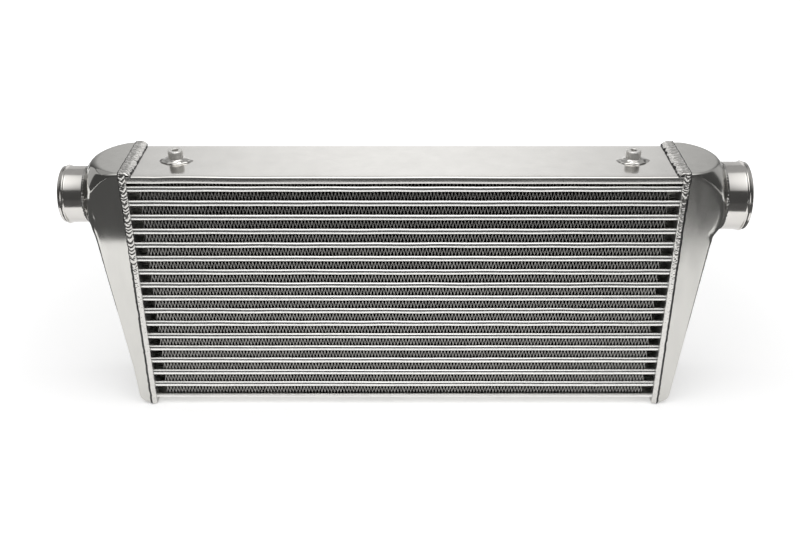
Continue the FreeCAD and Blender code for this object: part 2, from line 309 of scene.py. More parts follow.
FINISHES = {
    "polished_sheet": dict(tint="plate", roughness=(0.12, 0.20), patches=(14, EVEN),
                           grain=(160, (1, 12, 12), 0.00001), waves=(5, EVEN, 0.0006)),
    # Rougher than the top plate's sheet, and lighter in colour: painted light on the bottom plate.
    "brushed_and_lit_sheet": dict(tint="base", roughness=(0.25, 0.35), patches=(14, EVEN),
                          grain=(160, (1, 12, 12), 0.00002), waves=(5, EVEN, 0.0004)),
    "drawn_tube": dict(tint="tube", roughness=(0.20, 0.30), patches=(30, (1, 4, 4)),
                       grain=(90, (1, 6, 6), 0.00003), waves=(30, (1, 2, 2), 0.0001)),
    # Fin strip colour is darker than the tubes: painted shade of the rows between the tubes.
    "fin_strip": dict(tint="fin", roughness=(0.30, 0.45), patches=(60, EVEN), dirt=0.3,
                      grain=(400, EVEN, 0.00001), waves=(80, EVEN, 0.00002)),
    "polished_casting": dict(tint="tank", roughness=(0.05, 0.10), patches=(16, (2, 2, 0.6)),
                             grain=(220, (3, 3, 0.5), 0.000008), waves=(9, EVEN, 0.0004)),
    "satin_casting": dict(tint="tank", roughness=(0.15, 0.27), patches=(16, (2, 2, 0.6)),
                          grain=(200, (4, 4, 0.4), 0.00002), waves=(9, EVEN, 0.0006)),
    "mirror_pipe": dict(tint="pipe", roughness=(0.12, 0.20), patches=(20, EVEN),
                        grain=(500, (6, 1, 1), 0.000004), waves=(16, EVEN, 0.00025)),
    "bead_metal": dict(tint="weld", roughness=(0.06, 0.20), patches=(90, EVEN), dirt=0.18,
                       grain=(500, EVEN, 0.00003), waves=(120, EVEN, 0.0002)),
    # Near black seam finish: painted shade along the edges of the weld beads.
    "painted_seam_shade": dict(tint="seam", roughness=(0.35, 0.55), patches=(90, EVEN), dirt=0.4,
                       grain=(500, EVEN, 0.00003), waves=(120, EVEN, 0.0001)),
    "bright_turning": dict(tint="boss", roughness=(0.42, 0.55), patches=(80, EVEN),
                           grain=(600, (1, 1, 5), 0.00001), waves=(60, EVEN, 0.0001)),
    "plain_plate": PLAIN,
    "plain_strip": PLAIN,
}


def finish(name):
    """The finish of this name, made when it is first asked for."""
    if name not in bpy.data.materials:
        metal(name, **FINISHES[name])
    return bpy.data.materials[name]


def metal(name, tint, roughness, patches, grain, waves, dirt=0.06):
    """Aluminium: patchy gloss, darker spots, fine grain and shallow waves.

    tint names a colour, roughness is a low and a high value, patches is (scale, stretch),
    grain and waves are (scale, stretch, height) and dirt is how much darker the spots are.
    """
    clean = getattr(settings("finish"), tint)
    spotted = [part * (1 - dirt) for part in clean]
    tree = cleared(bpy.data.materials.new(name))
    gloss = ranged(tree, mapped_noise(tree, *patches), *roughness)
    spots = ranged(tree, mapped_noise(tree, patches[0] * 3.1, patches[1], 5.0), 0.0, 1.0)
    tone = new_node(tree, "ShaderNodeMix", {"Factor": (spots, "Result"), "A": (*spotted, 1.0),
                                            "B": (*clean, 1.0)}, data_type="RGBA")
    relief = {}
    for scale, stretch, height, detail in ((*grain, 3.0), (*waves, 1.0)):
        noise = mapped_noise(tree, scale, stretch, detail)
        bump = new_node(tree, "ShaderNodeBump", {"Strength": 1.0, "Distance": height,
                                                 "Height": (noise, "Fac"), **relief})
        relief = {"Normal": (bump, "Normal")}
    shader = new_node(tree, "ShaderNodeBsdfPrincipled",
                      {"Metallic": 1.0, "Roughness": (gloss, "Result"),
                       "Base Color": (tone, "Result"), **relief})
    new_node(tree, "ShaderNodeOutputMaterial", {"Surface": (shader, "BSDF")})


def mapped_noise(tree, scale, stretch, detail=3.0):
    """Noise over the piece's own coordinates, drawn out by a stretch along each axis."""
    place = new_node(tree, "ShaderNodeTexCoord")
    mapping = new_node(tree, "ShaderNodeMapping",
                       {"Vector": (place, "Object"), "Scale": stretch})
    return new_node(tree, "ShaderNodeTexNoise", {"Vector": (mapping, "Vector"), "Scale": scale,
                                                 "Detail": detail, "Roughness": 0.55})


def ranged(tree, noise, low, high):
    """The middle values of a noise spread over a range."""
    return new_node(tree, "ShaderNodeMapRange", {"Value": (noise, "Fac"), "From Min": 0.3,
                                                 "From Max": 0.7, "To Min": low, "To Max": high})


def cleared(owner):
    """Emptied node tree of a material or world."""
    owner.use_nodes = True
    owner.node_tree.nodes.clear()
    return owner.node_tree


def new_node(tree, kind, inputs=None, **attributes):
    """Shader node whose inputs are plain values, or (node, output) where they are linked."""
    node = tree.nodes.new(kind)
    for name, value in attributes.items():
        setattr(node, name, value)
    for socket, value in (inputs or {}).items():
        if isinstance(value, tuple) and isinstance(value[0], bpy.types.Node):
            tree.links.new(value[0].outputs[value[1]], node.inputs[socket])
        else:
            node.inputs[socket].default_value = value
    return node


def math_node(tree, operation, *inputs, kind="ShaderNodeMath"):
    """Math node over these inputs."""
    return new_node(tree, kind, dict(enumerate(inputs)), operation=operation)


def vector_node(tree, operation, *inputs):
    """Math node over these vectors."""
    return math_node(tree, operation, *inputs, kind="ShaderNodeVectorMath")


# Side plates

def fold(low, gauge_inside, edge_top, bend, steps):
    """Quarter round of a channel's front fold, as (y, z) from the lip to the flat."""
    radius = bend - gauge_inside
    turns = [math.pi - step * math.pi / 2 / steps for step in range(steps + 1)]
    return [(low.y + bend + radius * math.cos(turn), edge_top - bend + radius * math.sin(turn))
            for turn in turns]


def channel_section(low, high, gauge, bend):
    """Points round a folded channel that opens downwards, as (y, z)."""
    outer_steps, inner_steps, flat_steps = 6, 3, 12
    width = high.y - low.y
    outer = [(low.y, low.z)] + fold(low, 0.0, high.z, bend, outer_steps)
    inner = [(low.y + gauge, low.z)] + fold(low, gauge, high.z, bend, inner_steps)
    flat = [(low.y + bend + (width - 2 * bend) * step / flat_steps, high.z)
            for step in range(1, flat_steps)]
    back_outer = [(low.y + high.y - y, z) for y, z in outer[::-1]]
    back_inner = [(low.y + high.y - y, z) for y, z in inner[::-1]]
    return np.array(outer + flat + back_outer + (inner + back_inner)[::-1])


def top_warp(x, y):
    """Rise of the top plate towards its front edge: one dent near the left end, and a sway."""
    half_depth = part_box("top_side_plate")[1].y
    crown_at, crown_width = -0.235, 0.05
    hollow_at, hollow_width = -0.268, 0.012
    most = 0.0012
    front = np.clip(-y / half_depth, 0, 1) ** 2
    crown = np.exp(-((x - crown_at) / crown_width) ** 2)
    hollow = np.exp(-((x - hollow_at) / hollow_width) ** 2)
    sway = 0.3 * np.sin(x * 19.0 + 1.0) + 0.2 * np.sin(x * 43.0)
    return np.minimum(settings("core").plate_dent * front * (crown - 0.8 * hollow + sway), most)


def side_plate(node, name, finish_name, bend, warp=None, lean=0.0, clearance=0.0):
    """Folded sheet along the core, perhaps a little out of true, with leaning lips."""
    low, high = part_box(node)
    low.z += clearance
    section = channel_section(low, high, settings("core").plate_gauge, bend)
    stations = np.linspace(low.x, high.x, 121)
    points = swept(stations, section)
    share = np.clip((high.z - bend - points[..., 2]) / (high.z - low.z), 0, 1)
    points[..., 1] -= np.sign(points[..., 1]) * lean * share
    if warp:
        points[..., 2] += warp(points[..., 0], points[..., 1])
    count = len(section)
    near_end = np.arange(count)[None, ::-1]
    far_end = np.arange(count)[None, :] + (len(stations) - 1) * count
    faces = [grid(len(stations), count, wrap_columns=True), near_end, far_end]
    piece(name, make_mesh(name, points, faces, 50.0), finish_name, node)


class INTERCOOLER_OT_side_plates(bpy.types.Operator):
    """Folded plates that close the stack at its top and bottom"""
    bl_idname = "intercooler.side_plates"
    bl_label = "Side plates"

    def execute(self, context):
        core = settings("core")
        side_plate("top_side_plate", "top_plate", "polished_sheet", core.top_bend,
                   warp=top_warp, lean=core.lip_lean)
        side_plate("bottom_side_plate", "bottom_plate", "brushed_and_lit_sheet", core.bottom_bend,
                   clearance=core.lip_clearance)
        return {"FINISHED"}


# Core tubes

def flat_loop(half_depth, half_height, middle=0.0, nose_steps=14):
    """Outline of a flat tube in (y, z), round at both noses."""
    turn = np.linspace(-math.pi / 2, math.pi / 2, nose_steps + 1)
    straight = half_depth - half_height
    back = np.stack([straight + half_height * np.cos(turn), half_height * np.sin(turn)], axis=-1)
    return np.concatenate([back, -back]) + (0.0, middle)


def flat_tube(node, scatter):
    """Slightly wavy flat tube with open ends; its bore is straight."""
    core = settings("core")
    low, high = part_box(node)
    half_depth = (high.y - low.y) / 2
    half_height = (high.z - low.z) / 2
    middle = (low.z + high.z) / 2
    outer = flat_loop(half_depth, half_height + core.tube_swell, middle)
    bore = flat_loop(half_depth - core.tube_wall, half_height - core.tube_wall, middle)
    stations = np.linspace(low.x, high.x, 61)
    waves = sum(scatter.normal(0, 1, 2)[:, None]
                * np.sin(stations * rate + scatter.uniform(0, 6))
                for rate in (13.0, 29.0, 61.0, 97.0))
    fading = np.minimum((high.x - np.abs(stations)) / core.tube_straight, 1.0)
    waves = waves * core.tube_ripple * fading
    skin = swept(stations, outer)
    skin[..., 1] += waves[0][:, None] * np.sign(outer[:, 0])
    skin[..., 2] += waves[1][:, None]
    rings = np.concatenate([skin, swept([high.x, low.x], bore)])
    return make_mesh(node, rings, [grid(*rings.shape[:2], wrap_rows=True, wrap_columns=True)])


class INTERCOOLER_OT_core_tubes(bpy.types.Operator):
    """Flat tubes with round noses, open at both ends"""
    bl_idname = "intercooler.core_tubes"
    bl_label = "Core tubes"

    def execute(self, context):
        scatter = np.random.default_rng(11)
        for node in TUBES:
            name = node.replace("core_tube", "flat_tube")
            piece(name, flat_tube(node, scatter), "drawn_tube", node)
        return {"FINISHED"}


# Air fins

def fin_row(node, scatter):
    """Zigzag strip, whose folds sway along the depth near both faces of the core."""
    core = settings("core")
    low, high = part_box(node)
    folds = 2 * round((high.x - low.x) / core.fin_pitch)
    number = np.arange(folds + 1)
    x = np.linspace(low.x, high.x, folds + 1)
    x = x + scatter.normal(0, core.fin_scatter, folds + 1) * (number % 2)
    x = x + scatter.normal(0, core.fin_scatter / 3, folds + 1)
    x = np.clip(x, low.x, high.x)
    rise = core.fin_gauge * math.hypot(2 * (high.z - low.z) / core.fin_pitch, 1)
    under = np.where(number % 2 == 0, low.z, high.z - rise)
    strip_x = np.concatenate([x, x[::-1]])
    strip_z = np.concatenate([under, (under + rise)[::-1]])

    steps = np.arange(2 * round(core.fin_detail_depth / core.fin_wave_pitch) + 1)
    front = low.y - core.fin_reach + steps * core.fin_wave_pitch / 2
    sway = np.where(steps % 2 == 0, -1.0, 1.0) * core.fin_wave
    depth = np.concatenate([front, -front[::-1]])
    shift = np.concatenate([sway, sway[::-1]])
    points = np.empty((len(depth), len(strip_x), 3))
    points[..., 0] = np.clip(strip_x + shift[:, None], low.x, high.x)
    points[..., 1] = depth[:, None]
    points[..., 2] = strip_z

    start = np.arange(folds)
    front_edge = np.stack([start, start + 1, 2 * folds - start, 2 * folds + 1 - start], axis=-1)
    back_edge = front_edge[:, ::-1] + (len(depth) - 1) * len(strip_x)
    sheet = grid(len(depth), len(strip_x), wrap_columns=True)[:, ::-1]
    return make_mesh(node, points, [sheet, front_edge, back_edge], 20.0)


class INTERCOOLER_OT_air_fins(bpy.types.Operator):
    """Rows of folded strip, at their real pitch"""
    bl_idname = "intercooler.air_fins"
    bl_label = "Air fins"

    def execute(self, context):
        scatter = np.random.default_rng(23)
        for node in FINS:
            name = node.replace("air_fin", "fin_row")
            piece(name, fin_row(node, scatter), "fin_strip", node)
        return {"FINISHED"}


# End tanks

def arc_outline(corners, steps=10):
    """Closed outline through (u, z, radius) corners, with arcs as short runs."""
    corners = [np.array(corner, float) for corner in corners]
    points = []
    for index, corner in enumerate(corners):
        here, radius = corner[:2], corner[2]
        if radius == 0:
            points.append(here)
            continue
        before = corners[index - 1][:2] - here
        after = corners[(index + 1) % len(corners)][:2] - here
        before /= np.linalg.norm(before)
        after /= np.linalg.norm(after)
        half = math.acos(np.clip(before @ after, -1, 1)) / 2
        bisector = (before + after) / np.linalg.norm(before + after)
        centre = here + bisector * radius / math.sin(half)
        start = here + before * radius / math.tan(half) - centre
        end = here + after * radius / math.tan(half) - centre
        sweep = math.atan2(start[0] * end[1] - start[1] * end[0], start @ end)
        across = np.array([-start[1], start[0]])
        for step in range(steps + 1):
            angle = sweep * step / steps
            points.append(centre + math.cos(angle) * start + math.sin(angle) * across)
    return np.array(points)


def outline_distance(u, z, outline):
    """Distance to a closed outline, negative inside."""
    no_run = 1e-14
    nearest = np.full(u.shape, np.inf)
    inside = np.zeros(u.shape, bool)
    for start, end in zip(outline, np.roll(outline, -1, axis=0)):
        run = end - start
        size = run @ run
        if size < no_run:
            continue
        share = np.clip(((u - start[0]) * run[0] + (z - start[1]) * run[1]) / size, 0, 1)
        gap = np.hypot(u - start[0] - share * run[0], z - start[1] - share * run[1])
        nearest = np.minimum(nearest, gap)
        crossing = (start[1] > z) != (end[1] > z)
        if start[1] != end[1]:
            at = start[0] + (z - start[1]) * run[0] / run[1]
            inside ^= crossing & (u < at)
    return np.where(inside, -nearest, nearest)


def rounded_join(a, b, radius):
    """Intersection of two distances with a rounded edge."""
    a = a + radius
    b = b + radius
    return np.hypot(np.maximum(a, 0), np.maximum(b, 0)) + np.minimum(np.maximum(a, b), 0) - radius


def soft_union(a, b, width):
    """Union of two distances with a soft hollow between them."""
    mix = np.clip(0.5 + 0.5 * (b - a) / width, 0, 1)
    return b + (a - b) * mix - width * mix * (1 - mix)


def wall_outline(side, mouth, bottom):
    """Corners of a tank's slanted body as (u, z, radius), u measured from the middle."""
    tanks = settings("tanks")
    number = SIDES.index(side)
    core_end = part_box("top_side_plate")[1].x
    return [
        (mouth, tanks.wall[number], 0),
        (core_end + tanks.reach[number], tanks.wall[number], tanks.wall_top_radius),
        (core_end + tanks.waist_reach[number], tanks.waist[number], tanks.waist_radius),
        (core_end + tanks.foot_reach, bottom, tanks.foot_radius),
        (mouth, bottom, 0),
    ]


def tank_field(side):
    """Distance to the outer skin of a tank, as a function of points."""
    tanks = settings("tanks")
    inside_core = 0.02
    low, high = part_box(side + "_end_tank")
    mouth, neck_end = span(side + "_end_tank")
    pipe_low, pipe_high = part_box(side + "_pipe")
    height = (pipe_low.z + pipe_high.z) / 2
    pipe_radius = (pipe_high.z - pipe_low.z) / 2 - settings("pipes").bead_height
    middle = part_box("top_side_plate")[1].x - tanks.inset[SIDES.index(side)]
    ball_radius = math.hypot(neck_end - middle, pipe_radius)
    crease = tanks.crease[SIDES.index(side)]
    outline = arc_outline(wall_outline(side, mouth - inside_core, low.z))

    def field(points):
        u, y, z = np.abs(points[:, 0]), np.abs(points[:, 1]), points[:, 2]
        ball = np.sqrt((u - middle) ** 2 + y ** 2 + (z - height) ** 2) - ball_radius
        head = rounded_join(ball, z - high.z, crease)
        profile = soft_union(outline_distance(u, z, outline), head, tanks.blend)
        return rounded_join(profile, y - high.y, tanks.edge)

    return field


def settle(points, field, limit):
    """Moves points near the skin onto it, along the field's slope."""
    rounds, nudge, least_slope = 4, 2e-5, 0.25
    moved = points.copy()
    near = np.abs(field(points)) < limit
    for _ in range(rounds):
        here = moved[near]
        value = field(here)
        slope = np.stack([(field(here + offset) - field(here - offset)) / (2 * nudge)
                          for offset in np.eye(3) * nudge], axis=-1)
        size = np.maximum((slope ** 2).sum(axis=1), least_slope)
        moved[near] = here - (value / size)[:, None] * slope
    return moved


def evenly_meshed(node, voxel):
    """The solid of a node, meshed again on an even grid."""
    work = placed("tank_work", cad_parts[node].data.copy())
    remesh = work.modifiers.new("remesh", "REMESH")
    remesh.mode = "VOXEL"
    remesh.voxel_size = voxel
    depsgraph = bpy.context.evaluated_depsgraph_get()
    mesh = bpy.data.meshes.new_from_object(work.evaluated_get(depsgraph))
    bpy.data.objects.remove(work)
    return mesh


class INTERCOOLER_OT_end_tanks(bpy.types.Operator):
    """Hollow castings at both ends, with soft edges and a ball-shaped head at the pipe"""
    bl_idname = "intercooler.end_tanks"
    bl_label = "End tanks"

    def execute(self, context):
        tanks = settings("tanks")
        for side, finish_name in zip(SIDES, ("polished_casting", "satin_casting")):
            node = side + "_end_tank"
            mesh = evenly_meshed(node, tanks.voxel)
            points = np.empty(len(mesh.vertices) * 3, np.float32)
            mesh.vertices.foreach_get("co", points)
            points = points.reshape(-1, 3).astype(float)
            mouth, neck_end = span(node)
            reach = np.abs(points[:, 0])
            free = (reach < neck_end - tanks.voxel) & (reach > mouth + tanks.voxel / 2)
            points[free] = settle(points[free], tank_field(side), tanks.catch)
            mesh.vertices.foreach_set("co", points.astype(np.float32).ravel())
            mesh.update()
            mesh.shade_smooth()
            mesh.set_sharp_from_angle(angle=math.radians(50))
            mesh.name = side + "_tank"
            piece(mesh.name, mesh, finish_name, node)
        return {"FINISHED"}


# Hose pipes and their welds

class INTERCOOLER_OT_hose_pipes(bpy.types.Operator):
    """Polished pipes with a rolled bead near the open end"""
    bl_idname = "intercooler.hose_pipes"
    bl_label = "Hose pipes"

    def execute(self, context):
        pipes = settings("pipes")
        lip = pipes.lip_radius
        inner_bead = 0.8 * pipes.bead_height
        quarter = np.linspace(0, math.pi / 2, 5)
        for side in SIDES:
            node = side + "_pipe"
            name = side + "_hose_pipe"
            low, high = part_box(node)
            start, end = span(node)
            outer = (high.z - low.z) / 2 - pipes.bead_height
            inner = outer - pipes.wall
            hump = [(end - pipes.bead_inset + pipes.bead_width / 2 * t,
                     0.5 + 0.5 * math.cos(math.pi * t)) for t in np.linspace(-1, 1, 13)]
            profile = [(start, outer)]
            profile += [(x, outer + pipes.bead_height * rise) for x, rise in hump]
            profile += [(end - lip + lip * math.sin(a), outer - lip + lip * math.cos(a))
                        for a in quarter]
            profile += [(end - lip + lip * math.cos(a), inner + lip - lip * math.sin(a))
                        for a in quarter]
            profile += [(x, inner + inner_bead * rise) for x, rise in hump[::-1]]
            profile += [(start, inner)]
            points = turned(profile, pipes.segments, (0, 0, (low.z + high.z) / 2), "x",
                            outward(side))
            faces = grid(len(profile), pipes.segments, wrap_rows=True, wrap_columns=True)
            mesh = make_mesh(name, points, [facing_out(faces, side)], 35.0)
            piece(name, mesh, "mirror_pipe", node)
        return {"FINISHED"}


class INTERCOOLER_OT_pipe_welds(bpy.types.Operator):
    """Narrow fillets of weld between the heads and the pipes"""
    bl_idname = "intercooler.pipe_welds"
    bl_label = "Pipe welds"

    def execute(self, context):
        scatter = np.random.default_rng(31)
        for side in SIDES:
            self.fillet(side, scatter)
        return {"FINISHED"}

    def fillet(self, side, scatter):
        """Hollow curve from the head to the pipe, with fine ripples round it."""
        welds = settings("welds")
        segments, ripples = 360, 60
        node = side + "_pipe_weld"
        name = side + "_neck_weld"
        low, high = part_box(node)
        pipe_low, pipe_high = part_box(side + "_pipe")
        back, front = span(node)
        joint = span(side + "_pipe")[0]
        outer = (high.z - low.z) / 2
        inner = (pipe_high.z - pipe_low.z) / 2 - settings("pipes").bead_height
        share = np.linspace(0, 1, 9)
        first, second, third = (1 - share) ** 2, 2 * share * (1 - share), share ** 2
        along = first * back + second * (joint + welds.fillet) + third * front
        radius = first * outer + second * (inner + welds.fillet) + third * inner
        along = np.concatenate([along, [front, back]])
        radius = np.concatenate([radius, [inner - welds.fillet / 2] * 2])
        points = turned(np.stack([along, radius], axis=-1), segments,
                        (0, 0, (low.z + high.z) / 2), "x", outward(side))

        turn = np.linspace(0, 2 * math.pi, segments, endpoint=False)
        ripple = 0.5 + 0.5 * np.sin(turn * ripples + 2.0 * np.sin(turn * 3))
        rough = np.abs(scatter.normal(0, welds.neck_ripple / 5, segments))
        shape = np.concatenate([np.sin(math.pi * share), [0, 0]])
        sunk = shape[:, None] * (ripple * welds.neck_ripple + rough)
        points[..., 1] -= sunk * np.cos(turn)
        points[..., 2] -= sunk * np.sin(turn)
        faces = grid(len(along), segments, wrap_rows=True, wrap_columns=True)
        mesh = make_mesh(name, points, [facing_out(faces, side)], 60.0)
        piece(name, mesh, "bead_metal", node)


# Tank welds

def loop_round(half_depth, low, high, radius, step):
    """Points and outward normals round an upright rectangle with rounded corners."""
    corners = [(-half_depth, low), (half_depth, low), (half_depth, high), (-half_depth, high)]
    places, normals = [], []
    for index, (y, z) in enumerate(corners):
        centre = np.array([y - math.copysign(radius, y),
                           z + (radius if z == low else -radius)])
        first = math.pi + index * math.pi / 2
        for angle in np.linspace(first, first + math.pi / 2, 9):
            out = np.array([math.cos(angle), math.sin(angle)])
            places.append(centre + radius * out)
            normals.append(out)
        run = np.array(corners[(index + 1) % 4], float) - (y, z)
        distance = np.linalg.norm(run) - 2 * radius
        heading = run / np.linalg.norm(run)
        begin, normal = places[-1], normals[-1]
        pieces = int(distance / step)
        for k in range(1, pieces):
            places.append(begin + heading * distance * k / pieces)
            normals.append(normal)
    return np.array(places), np.array(normals)


class INTERCOOLER_OT_tank_welds(bpy.types.Operator):
    """Rippled beads round the joint between each tank and the core"""
    bl_idname = "intercooler.tank_welds"
    bl_label = "Tank welds"

    def execute(self, context):
        for side, seed in zip(SIDES, (41, 43)):
            self.bead(side, np.random.default_rng(seed))
        return {"FINISHED"}

    def bead(self, side, scatter):
        """Bead with trailing ripples, smooth further down, with painted shade along its edges."""
        welds = settings("welds")
        node = side + "_tank_weld"
        tank_low, tank_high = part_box("right_end_tank")
        plate_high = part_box("top_side_plate")[1]
        pad_start, end = span(node)
        start = plate_high.x
        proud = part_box(node)[1].y - tank_high.y
        least = 0.0002

        places, normals = loop_round(tank_high.y, tank_low.z, tank_high.z, welds.corner,
                                     welds.step)
        top = normals[:, 1] > 0.7
        smooth = places[:, 1] < welds.calm[SIDES.index(side)]
        run = np.concatenate([[0], np.cumsum(np.linalg.norm(np.diff(places, axis=0), axis=1))])
        knots = np.linspace(0, run[-1], 150)
        wander = [np.interp(run, knots, scatter.normal(0, 1, len(knots))) for _ in range(4)]

        across = np.sin(np.linspace(-math.pi / 2, math.pi / 2, 21))
        inner_edge = np.where(top, pad_start + 1.5 * welds.waver * np.abs(wander[0]),
                              start + welds.waver * (np.abs(wander[0]) - 0.5))
        outer_edge = end - welds.waver * np.abs(wander[1])
        x = inner_edge[:, None] + (outer_edge - inner_edge)[:, None] * (across + 1) / 2

        phase = run / welds.ripple_pitch + 0.35 * wander[2]
        downward = np.where(np.abs(normals[:, 0]) > 0.5, np.sign(-normals[:, 0]), 1.0)
        lag = welds.ripple_lag / welds.ripple_pitch * np.abs(across) ** 1.5
        tooth = ((phase * downward)[:, None] + lag) % 1.0
        ripple = np.sin(math.pi * tooth ** 0.55) ** 0.7
        strength = np.where(top, 0.5, np.where(smooth, 0.2, 1.0))
        depth = welds.ripple_height * (1 + 0.25 * wander[3]) * strength
        height = proud - np.clip(depth, 0, proud)[:, None] * (1 - ripple)
        height = np.clip(height + scatter.normal(0, welds.lump, x.shape), least, proud)
        crown = np.clip(1 - np.abs(across) ** 4, 0, 1) ** 0.6
        flat = np.clip(1 - np.abs(across) ** 10, 0, 1) ** 0.5
        height = height * np.where(top[:, None], flat, crown)
        height[:, 0] = height[:, -1] = -welds.foot

        points = np.empty((*x.shape, 3))
        points[..., 0] = x * outward(side)
        points[..., 1:] = places[:, None, :] + normals[:, None, :] * height[..., None]
        onto_plate = top[:, None] & (x < start)
        slope = np.clip((start - x) / max(start - pad_start, 1e-6), 0, 1)
        points[..., 2] -= np.where(onto_plate, (tank_high.z - plate_high.z) * slope ** 1.5, 0)
        faces = grid(len(places), len(across), wrap_rows=True)
        mesh = make_mesh(node, points, [facing_out(faces, side)], 70.0)
        piece(side + "_tank_bead", mesh, "bead_metal", node)
        self.paint_seam_shade(mesh, top, smooth, wander[1], len(across) - 1)

    def paint_seam_shade(self, mesh, top, smooth, wander, columns):
        """Gives the faces along the bead's edges the seam finish, painted shade where the bead meets
        the metal.
        """
        mesh.materials.append(finish("painted_seam_shade"))
        # Faces that get the painted seam shade, along the bead's edges.
        seam_shade_faces = np.zeros((len(top), columns), np.int32)
        seam_shade_faces[:, -4:] = 1
        seam_shade_faces[~top & (wander > -0.5), -5] = 1
        seam_shade_faces[~top & smooth, -8:] = 1
        seam_shade_faces[top, :2] = 1
        seam_shade_faces[top & (wander > 0.0), 2] = 1
        mesh.polygons.foreach_set("material_index", seam_shade_faces.ravel())


# Bosses and their welds

class INTERCOOLER_OT_bosses(bpy.types.Operator):
    """Threaded mounting bosses and the weld round their feet"""
    bl_idname = "intercooler.bosses"
    bl_label = "Mounting bosses"

    def execute(self, context):
        for side, seed in zip(SIDES, (53, 59)):
            self.boss(side)
            self.mound(side, np.random.default_rng(seed))
        return {"FINISHED"}

    def boss(self, side):
        """Turned boss with the rings of its thread."""
        bosses = settings("bosses")
        segments, rings = 72, 8
        node = side + "_mount_boss"
        low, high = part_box(node)
        foot = ((low.x + high.x) / 2, (low.y + high.y) / 2, low.z)
        radius = (high.x - low.x) / 2
        tall = high.z - low.z
        hole, edge, mouth = bosses.hole, bosses.edge, bosses.mouth
        profile = [(0, 0.0), (0, radius), (tall - edge, radius), (tall, radius - edge),
                   (tall, hole + mouth), (tall - mouth, hole)]
        profile += [(tall - mouth - turn * bosses.ring_step,
                     hole + bosses.ring_depth * (turn % 2)) for turn in range(1, rings + 1)]
        profile += [(tall - bosses.hole_depth, hole), (tall - bosses.hole_depth, 0.0)]
        points = turned(profile, segments, foot, "z")
        faces = grid(len(profile), segments, wrap_columns=True)[:, ::-1]
        mesh = make_mesh(node, points, [faces], 30.0)
        piece(side + "_boss", mesh, "bright_turning", node)

    def mound(self, side, scatter):
        """Uneven puddle of weld round the foot of a boss, pointed at both ends."""
        bosses = settings("bosses")
        node = side + "_boss_weld"
        low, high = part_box(node)
        boss_low, boss_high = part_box(side + "_mount_boss")
        half_length, half_width = (high.x - low.x) / 2, (high.y - low.y) / 2
        tall = high.z - low.z
        turn = np.linspace(0, 2 * math.pi, 144, endpoint=False)
        share = np.linspace(0, 1, 22)[:, None]
        arc = (half_length ** 2 + half_width ** 2) / (2 * half_width)
        offset = arc - half_width
        edge = np.sqrt(arc ** 2 - (offset * np.cos(turn)) ** 2) - offset * np.abs(np.sin(turn))
        for bite, waves in ((0.04, 5), (0.03, 11)):
            edge = edge * (1 - bite * (0.5 + 0.5 * np.sin(turn * waves + scatter.uniform(0, 6))))
        inner = 0.98 * (boss_high.x - boss_low.x) / 2
        radius = inner + (edge - inner) * share
        lumps = sum(scatter.uniform(0.4, 1.0)
                    * np.sin(turn * round_it + scatter.uniform(0, 6) + share * outwards)
                    for round_it, outwards in ((2, 4), (3, 5), (5, -7), (7, 9), (9, 4)))
        skirt = bosses.skirt * np.clip(1 - share ** 6, 0, 1) ** 0.5
        climb = (tall - bosses.skirt) * (1 - share) ** 1.7
        height = skirt + climb + bosses.lump * lumps * np.sin(math.pi * share)
        points = np.empty((*radius.shape, 3))
        points[..., 0] = (low.x + high.x) / 2 + radius * np.cos(turn)
        points[..., 1] = (low.y + high.y) / 2 + radius * np.sin(turn)
        points[..., 2] = low.z + np.clip(height, 0.0, tall)
        mesh = make_mesh(node, points, [grid(*radius.shape, wrap_columns=True)], 60.0)
        piece(side + "_boss_bead", mesh, "bead_metal", node)


class INTERCOOLER_OT_inner_pieces(bpy.types.Operator):
    """Plain finish for the header plates and the strips inside the tubes"""
    bl_idname = "intercooler.inner_pieces"
    bl_label = "Inner pieces"

    def execute(self, context):
        for side in SIDES:
            dress(side + "_header_plate", "plain_plate")
        dress("tube_turbulators", "plain_strip")
        return {"FINISHED"}


# Stage

def level(x, y, height):
    """Corners of a level rectangle between two x and two y."""
    return [(x[0], y[0], height), (x[1], y[0], height), (x[1], y[1], height),
            (x[0], y[1], height)]


def upright(start, end, z):
    """Corners of an upright rectangle between two (x, y) places and two heights."""
    return [(*start, z[0]), (*end, z[0]), (*end, z[1]), (*start, z[1])]


def sheet(name, corners, material):
    """Flat sheet of the stage."""
    mesh = bpy.data.meshes.new(name)
    mesh.from_pydata(corners, [], [(0, 1, 2, 3)])
    mesh.materials.append(material)
    item = placed(name, mesh)
    return item


def card(name, corners, brightness, centre=(0, 0, 0), fade=None):
    """Glowing card that only reflections see, brightest at a centre.

    fade holds one over the distance at which it dims, for each axis.
    """
    item = sheet(name, corners, card_material(name, brightness, centre, fade))
    item.visible_camera = False
    item.visible_shadow = False
    item.visible_diffuse = False


def card_material(name, brightness, centre, fade):
    """Glow that is even, or that dims away from a centre."""
    material = bpy.data.materials.new(name)
    tree = cleared(material)
    strength = brightness
    if fade:
        place = new_node(tree, "ShaderNodeTexCoord")
        offset = vector_node(tree, "SUBTRACT", (place, "Object"), centre)
        scaled = vector_node(tree, "MULTIPLY", (offset, "Vector"), fade)
        square = vector_node(tree, "DOT_PRODUCT", (scaled, "Vector"), (scaled, "Vector"))
        dim = math_node(tree, "POWER", math.exp(-0.5), (square, "Value"))
        scaled_glow = math_node(tree, "MULTIPLY", (dim, 0), brightness)
        strength = (scaled_glow, 0)
    glow = new_node(tree, "ShaderNodeEmission", {"Strength": strength})
    new_node(tree, "ShaderNodeOutputMaterial", {"Surface": (glow, 0)})
    return material


